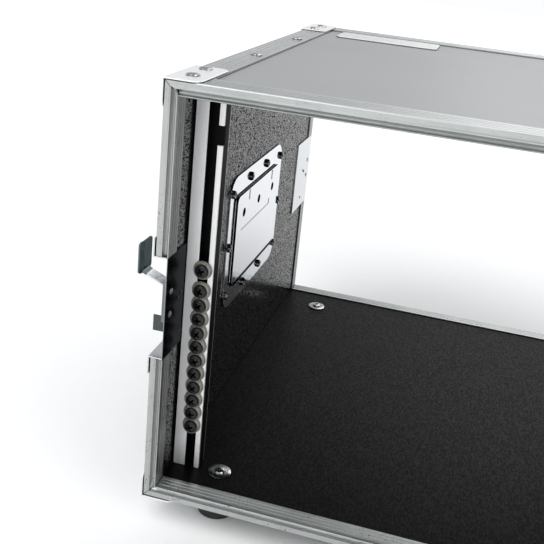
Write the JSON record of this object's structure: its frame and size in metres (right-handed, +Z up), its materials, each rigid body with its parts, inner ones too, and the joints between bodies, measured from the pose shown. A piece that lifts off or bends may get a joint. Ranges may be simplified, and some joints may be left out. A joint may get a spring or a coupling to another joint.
{
  "type": "equipment rack case",
  "caption": "Open flight case for 19-inch equipment: plywood walls in aluminium edging, slotted rack rails, recessed twist latches and spring handles, rubber feet.",
  "frame": {"origin": "on the ground, under the middle of the case", "axes": "+Z up, the front opening faces -Y, +X to the right seen from the front"},
  "size_m": [0.569, 0.508, 0.4165],
  "materials": {
    "laminate_grey": "grey resin laminate on plywood, fine grain, satin",
    "laminate_dark": "dark brown phenolic laminate on plywood, fine grain, satin",
    "aluminium": "mill-finish extrusion, satin, lightly scuffed",
    "zinc_steel": "pressed steel, bright zinc plated",
    "bail": "plated rod with a black moulded grip",
    "black_screws": "black plated steel in milky plastic cup washers",
    "rubber": "matt black moulded rubber",
    "label": "bright plate, blank"
  },
  "bodies": {
    "case": {"top_panel": "laminate_grey", "floor_panel": "laminate_dark", "side_panel_left": "laminate_dark", "side_panel_right": "laminate_dark", "rim_front_top": "aluminium", "rim_front_bottom": "aluminium", "rim_front_left_upper": "aluminium", "rim_front_left_lower": "aluminium", "rim_front_right_upper": "aluminium", "rim_front_right_lower": "aluminium", "rim_rear_top": "aluminium", "rim_rear_bottom": "aluminium", "rim_rear_left_upper": "aluminium", "rim_rear_left_lower": "aluminium", "rim_rear_right_upper": "aluminium", "rim_rear_right_lower": "aluminium", "edge_angle_top_left": "aluminium", "corner_plate_top_front_left": "zinc_steel", "corner_plate_top_rear_left": "zinc_steel", "edge_angle_top_right": "aluminium", "corner_plate_top_front_right": "zinc_steel", "corner_plate_top_rear_right": "zinc_steel", "edge_angle_bottom_left": "aluminium", "corner_plate_bottom_front_left": "zinc_steel", "corner_plate_bottom_rear_left": "zinc_steel", "edge_angle_bottom_right": "aluminium", "corner_plate_bottom_front_right": "zinc_steel", "corner_plate_bottom_rear_right": "zinc_steel", "rack_rail_left": "aluminium", "rack_rail_right": "aluminium", "latch_dish_front_left": "zinc_steel", "latch_dish_front_right": "zinc_steel", "latch_dish_rear_left": "zinc_steel", "latch_dish_rear_right": "zinc_steel", "handle_dish_left": "zinc_steel", "handle_dish_right": "zinc_steel", "handle_back_plate_left": "zinc_steel", "handle_back_plate_right": "zinc_steel", "label_plate": "label", "foot_front_left": "rubber", "foot_front_right": "rubber", "foot_rear_left": "rubber", "foot_rear_right": "rubber"},
    "rack_screws_left": {"rack_screws_left": "black_screws"},
    "handle_bail_left": {"handle_bail_left": "bail"},
    "rack_screws_right": {"rack_screws_right": "black_screws"},
    "handle_bail_right": {"handle_bail_right": "bail"},
    "latch_spindle_front_left": {"latch_spindle_front_left": "zinc_steel"},
    "latch_hook_front_left": {"latch_hook_front_left": "zinc_steel"},
    "latch_wing_front_left": {"latch_wing_front_left": "zinc_steel"},
    "latch_spindle_front_right": {"latch_spindle_front_right": "zinc_steel"},
    "latch_hook_front_right": {"latch_hook_front_right": "zinc_steel"},
    "latch_wing_front_right": {"latch_wing_front_right": "zinc_steel"},
    "latch_spindle_rear_left": {"latch_spindle_rear_left": "zinc_steel"},
    "latch_hook_rear_left": {"latch_hook_rear_left": "zinc_steel"},
    "latch_wing_rear_left": {"latch_wing_rear_left": "zinc_steel"},
    "latch_spindle_rear_right": {"latch_spindle_rear_right": "zinc_steel"},
    "latch_hook_rear_right": {"latch_hook_rear_right": "zinc_steel"},
    "latch_wing_rear_right": {"latch_wing_rear_right": "zinc_steel"}
  },
  "joints": [
    {"name": "rack_screws_slide_left", "type": "slide", "parent": "case", "child": "rack_screws_left", "axis": [0, 0, 1], "range_m": [-0.035, 0.145]},
    {"name": "handle_bail_lift_left", "type": "hinge", "parent": "case", "child": "handle_bail_left", "pos_m": [-0.25515, 0, 0.2553], "axis": [0, 1, 0], "range_deg": [0, 90], "stiffness_Nm_per_rad": 0.08, "springref_deg": -22.92},
    {"name": "rack_screws_slide_right", "type": "slide", "parent": "case", "child": "rack_screws_right", "axis": [0, 0, 1], "range_m": [-0.035, 0.145]},
    {"name": "handle_bail_lift_right", "type": "hinge", "parent": "case", "child": "handle_bail_right", "pos_m": [0.25515, 0, 0.2553], "axis": [0, -1, 0], "range_deg": [0, 90], "stiffness_Nm_per_rad": 0.08, "springref_deg": -22.92},
    {"name": "latch_twist_front_left", "type": "hinge", "parent": "case", "child": "latch_spindle_front_left", "pos_m": [-0.26115, -0.222, 0.2195], "axis": [1, 0, 0], "range_deg": [0, 180]},
    {"name": "latch_wing_fold_front_left", "type": "hinge", "parent": "latch_spindle_front_left", "child": "latch_wing_front_left", "pos_m": [-0.25855, -0.222, 0.2285], "axis": [0, -1, 0], "range_deg": [-24, 24]},
    {"name": "latch_hook_reach_front_left", "type": "slide", "parent": "case", "child": "latch_hook_front_left", "axis": [0, -1, 0], "range_m": [0, 0.0141]},
    {"name": "latch_twist_front_right", "type": "hinge", "parent": "case", "child": "latch_spindle_front_right", "pos_m": [0.26115, -0.222, 0.2195], "axis": [1, 0, 0], "range_deg": [0, 180]},
    {"name": "latch_wing_fold_front_right", "type": "hinge", "parent": "latch_spindle_front_right", "child": "latch_wing_front_right", "pos_m": [0.25855, -0.222, 0.2285], "axis": [0, 1, 0], "range_deg": [-24, 24]},
    {"name": "latch_hook_reach_front_right", "type": "slide", "parent": "case", "child": "latch_hook_front_right", "axis": [0, -1, 0], "range_m": [0, 0.0141]},
    {"name": "latch_twist_rear_left", "type": "hinge", "parent": "case", "child": "latch_spindle_rear_left", "pos_m": [-0.26115, 0.222, 0.2195], "axis": [-1, 0, 0], "range_deg": [0, 180]},
    {"name": "latch_wing_fold_rear_left", "type": "hinge", "parent": "latch_spindle_rear_left", "child": "latch_wing_rear_left", "pos_m": [-0.25855, 0.222, 0.2285], "axis": [0, -1, 0], "range_deg": [-24, 24]},
    {"name": "latch_hook_reach_rear_left", "type": "slide", "parent": "case", "child": "latch_hook_rear_left", "axis": [0, 1, 0], "range_m": [0, 0.0141]},
    {"name": "latch_twist_rear_right", "type": "hinge", "parent": "case", "child": "latch_spindle_rear_right", "pos_m": [0.26115, 0.222, 0.2195], "axis": [-1, 0, 0], "range_deg": [0, 180]},
    {"name": "latch_wing_fold_rear_right", "type": "hinge", "parent": "latch_spindle_rear_right", "child": "latch_wing_rear_right", "pos_m": [0.25855, 0.222, 0.2285], "axis": [0, 1, 0], "range_deg": [-24, 24]},
    {"name": "latch_hook_reach_rear_right", "type": "slide", "parent": "case", "child": "latch_hook_rear_right", "axis": [0, 1, 0], "range_m": [0, 0.0141]}
  ],
  "couplings": [
    {"joint": "latch_hook_reach_front_left", "follows": "latch_twist_front_left", "m_per_rad": 0.004456},
    {"joint": "latch_hook_reach_front_right", "follows": "latch_twist_front_right", "m_per_rad": 0.004456},
    {"joint": "latch_hook_reach_rear_left", "follows": "latch_twist_rear_left", "m_per_rad": 0.004456},
    {"joint": "latch_hook_reach_rear_right", "follows": "latch_twist_rear_right", "m_per_rad": 0.004456}
  ]
}
